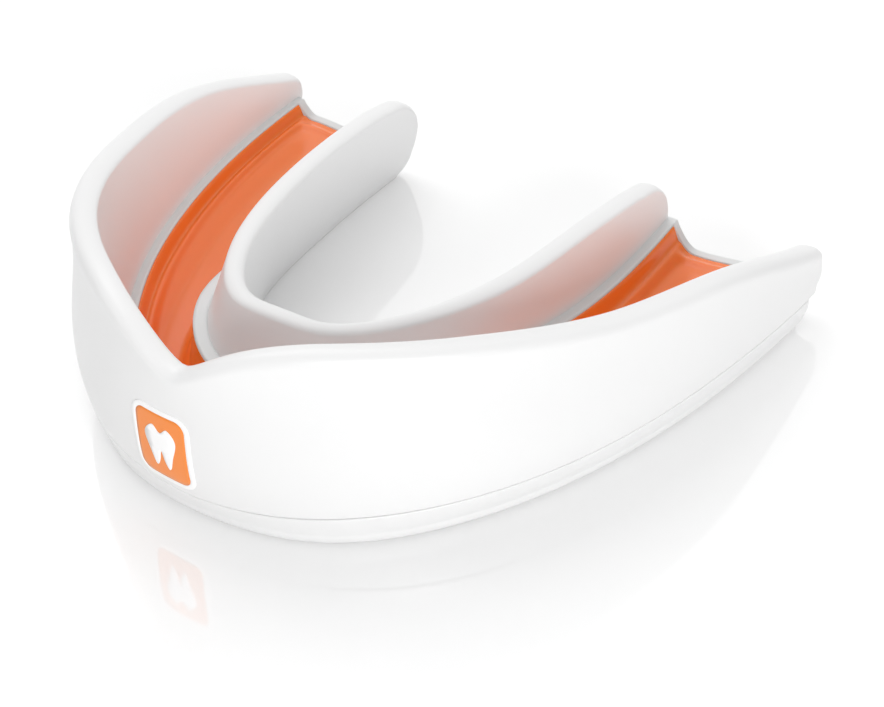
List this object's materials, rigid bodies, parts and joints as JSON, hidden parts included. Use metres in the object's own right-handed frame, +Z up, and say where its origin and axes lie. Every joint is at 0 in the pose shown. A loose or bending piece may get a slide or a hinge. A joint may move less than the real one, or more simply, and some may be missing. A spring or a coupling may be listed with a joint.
{
  "type": "mouthguard",
  "caption": "Horseshoe-shaped boil-and-bite mouthguard: a stiff channelled outer shell on a flat bite sole, with a soft moulded liner in its tray and shock pads inside.",
  "frame": {"origin": "on the surface it stands on, under the middle of the bounding box", "axes": "+Z up, from the flat sole to the flange rims; -Y towards the front teeth and the lip notch; +Y towards the open back of the arch; +X to the wearer's left arm when the front faces -Y"},
  "size_m": [0.062, 0.0541, 0.0199],
  "materials": {
    "shell_white": "smooth satin-gloss moulded thermoplastic elastomer",
    "sole_white": "smooth satin moulded thermoplastic elastomer",
    "tray_grey": "satin moulded plastic",
    "gel_orange": "soft glossy slightly translucent moulding gel",
    "shock_elastomer": "matte elastomer",
    "insert_plastic": "plain stiff plastic",
    "badge_white": "smooth printed relief",
    "badge_orange": "smooth printed relief"
  },
  "bodies": {
    "root": {"outer_shell": "shell_white", "bite_sole": "sole_white", "liner_tray": "tray_grey", "gel_liner": "gel_orange", "molar_pad_left": "shock_elastomer", "molar_pad_right": "shock_elastomer", "front_insert_left": "insert_plastic", "front_insert_right": "insert_plastic", "badge_border": "badge_white", "badge_field": "badge_orange", "badge_emblem": "badge_white"}
  },
  "joints": []
}
